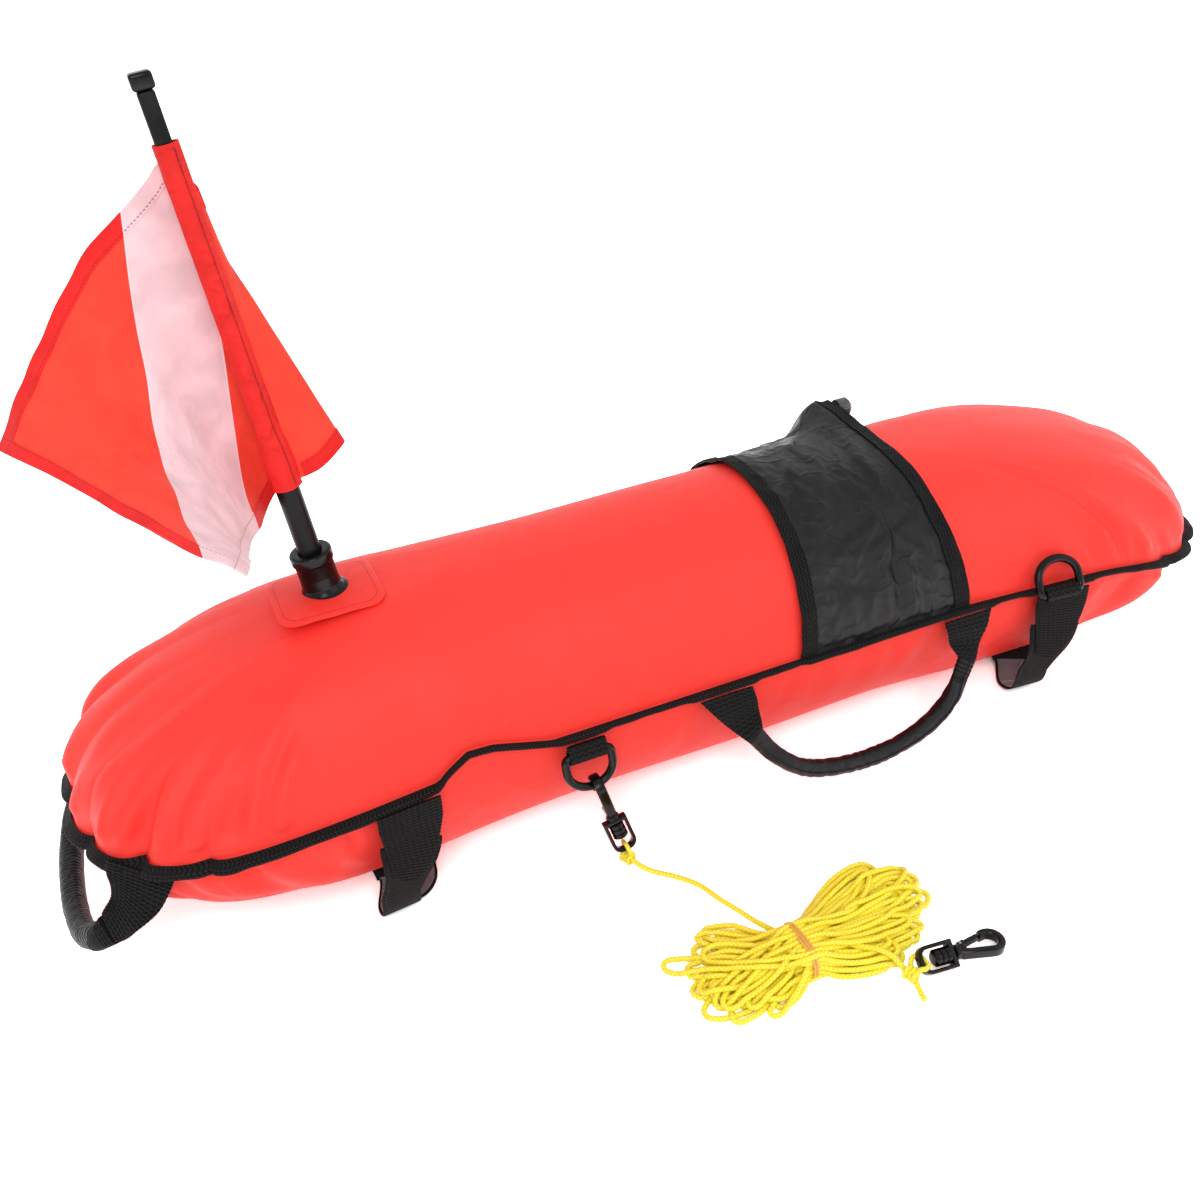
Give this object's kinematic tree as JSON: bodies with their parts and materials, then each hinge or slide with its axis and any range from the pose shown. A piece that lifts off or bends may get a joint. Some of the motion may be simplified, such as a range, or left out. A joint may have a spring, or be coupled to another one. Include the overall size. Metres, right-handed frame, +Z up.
{
  "type": "dive float buoy",
  "caption": "Long inflatable red surface float for divers, with a flag on a plug-in pole, valve cover, handles, D-rings, rod straps and a hanked yellow line with snap hooks.",
  "frame": {"origin": "on the ground plane, under the middle of the flat strip of the belly", "axes": "+X along the float from the flag's end to the plain end, +Y away from the carry handle, +Z up"},
  "size_m": [0.9178, 0.4391, 0.5298],
  "materials": {
    "coated_fabric": "semi-gloss PVC coated",
    "bladder_film": "matte film",
    "webbing": "woven nylon",
    "cover_nylon": "plain weave nylon",
    "flag_nylon": "thin nylon",
    "black_plastic": "moulded gloss",
    "pole_plastic": "satin",
    "hose_rubber": "matte",
    "clear_plastic": "translucent",
    "pin_steel": "plain",
    "rope": "braided polypropylene"
  },
  "bodies": {
    "root": {"upper_panel": "coated_fabric", "lower_panel": "coated_fabric", "seam_binding": "webbing", "inner_bladder": "bladder_film", "valve_neck": "black_plastic", "valve_hose": "hose_rubber", "valve_mouthpiece": "black_plastic", "flag_patch": "coated_fabric", "pole_socket": "black_plastic", "valve_cover": "cover_nylon", "cover_hem_left": "cover_nylon", "cover_hem_right": "cover_nylon", "ring_tab_1": "webbing", "ring_tab_2": "webbing", "left_strap_loop": "webbing", "right_strap_loop": "webbing", "end_webbing_front": "webbing", "end_webbing_rear": "webbing", "rope_hank": "rope", "hank_band": "rope", "rope_lead": "rope", "rope_tail": "rope", "knot_1": "rope", "knot_2": "rope", "hook_2_frame": "black_plastic", "hook_2_pin": "pin_steel"},
    "pole": {"pole_lower_tube": "pole_plastic", "pole_upper_rod": "pole_plastic", "pole_knob": "black_plastic"},
    "flag": {"flag_sleeve": "flag_nylon", "flag_cloth": "flag_nylon"},
    "ring_1": {"d_ring_1": "black_plastic"},
    "ring_2": {"d_ring_2": "black_plastic"},
    "hook_1": {"hook_1_frame": "black_plastic", "hook_1_pin": "pin_steel"},
    "gate_1": {"hook_1_gate": "black_plastic"},
    "eye_1": {"hook_1_eye": "black_plastic"},
    "gate_2": {"hook_2_gate": "black_plastic"},
    "eye_2": {"hook_2_eye": "black_plastic"},
    "carry_handle": {"handle_webbing_left": "webbing", "handle_webbing_right": "webbing", "handle_grip": "webbing"},
    "end_handle": {"end_grip": "webbing"},
    "left_tab": {"left_strap_tab": "webbing"},
    "right_tab": {"right_strap_tab": "webbing"},
    "poppet": {"valve_poppet": "black_plastic"},
    "cap": {"valve_cap": "clear_plastic"}
  },
  "joints": [
    {"name": "pole_lift", "type": "slide", "parent": "root", "child": "pole", "axis": [-0.0941, 0, 0.9956], "range_m": [0, 0.05]},
    {"name": "flag_turn", "type": "hinge", "parent": "pole", "child": "flag", "pos_m": [-0.251, 0, 0.19456], "axis": [-0.0941, 0, 0.9956], "continuous": true},
    {"name": "hook_1_swing", "type": "hinge", "parent": "root", "child": "hook_1", "pos_m": [-0.1195, -0.11044, 0.08585], "axis": [-1, -0.0042, 0], "range_deg": [0, 60]},
    {"name": "ring_1_swing", "type": "hinge", "parent": "root", "child": "ring_1", "pos_m": [-0.1195, -0.11044, 0.08585], "axis": [-1, -0.0042, 0], "range_deg": [0, 60]},
    {"name": "gate_1_open", "type": "hinge", "parent": "hook_1", "child": "gate_1", "pos_m": [-0.11231, -0.11744, 0.03971], "axis": [0.9778, 0, 0.2098], "range_deg": [0, 28], "stiffness_Nm_per_rad": 0.02, "springref_deg": -17.19},
    {"name": "eye_1_swivel", "type": "hinge", "parent": "hook_1", "child": "eye_1", "pos_m": [-0.1113, -0.12282, 0.03502], "axis": [-0.1981, 0.329, 0.9233], "continuous": true},
    {"name": "ring_2_swing", "type": "hinge", "parent": "root", "child": "ring_2", "pos_m": [0.25443, -0.12389, 0.099], "axis": [0.9946, -0.1037, 0], "range_deg": [0, 110]},
    {"name": "gate_2_open", "type": "hinge", "parent": "root", "child": "gate_2", "pos_m": [0.03859, -0.30316, 0.00747], "axis": [-0.0948, 0, -0.9955], "range_deg": [0, 28], "stiffness_Nm_per_rad": 0.02, "springref_deg": -17.19},
    {"name": "eye_2_swivel", "type": "hinge", "parent": "root", "child": "eye_2", "pos_m": [0.03216, -0.30636, 0.00808], "axis": [0.9944, -0.0473, -0.0947], "continuous": true},
    {"name": "carry_handle_swing", "type": "hinge", "parent": "root", "child": "carry_handle", "pos_m": [0, -0.1104, 0.09405], "axis": [-1, 0, 0], "range_deg": [0, 80]},
    {"name": "end_handle_swing", "type": "hinge", "parent": "root", "child": "end_handle", "pos_m": [-0.442, 0, 0.048], "axis": [0, 1, 0], "range_deg": [0, 60]},
    {"name": "left_tab_peel", "type": "hinge", "parent": "root", "child": "left_tab", "pos_m": [-0.243, -0.11717, 0.09405], "axis": [-0.9946, -0.1037, 0], "range_deg": [0, 110]},
    {"name": "right_tab_peel", "type": "hinge", "parent": "root", "child": "right_tab", "pos_m": [0.261, -0.11904, 0.09405], "axis": [-0.9946, 0.1037, 0], "range_deg": [0, 78]},
    {"name": "poppet_press", "type": "slide", "parent": "root", "child": "poppet", "axis": [-0.9997, -0.0113, -0.0222], "range_m": [0, 0.003], "stiffness_N_per_m": 300, "springref_m": -0.001},
    {"name": "cap_pull", "type": "slide", "parent": "root", "child": "cap", "axis": [0.9997, 0.0113, 0.0222], "range_m": [0, 0.014]}
  ],
  "couplings": [
    {"joint": "ring_1_swing", "follows": "hook_1_swing", "ratio": 1}
  ]
}
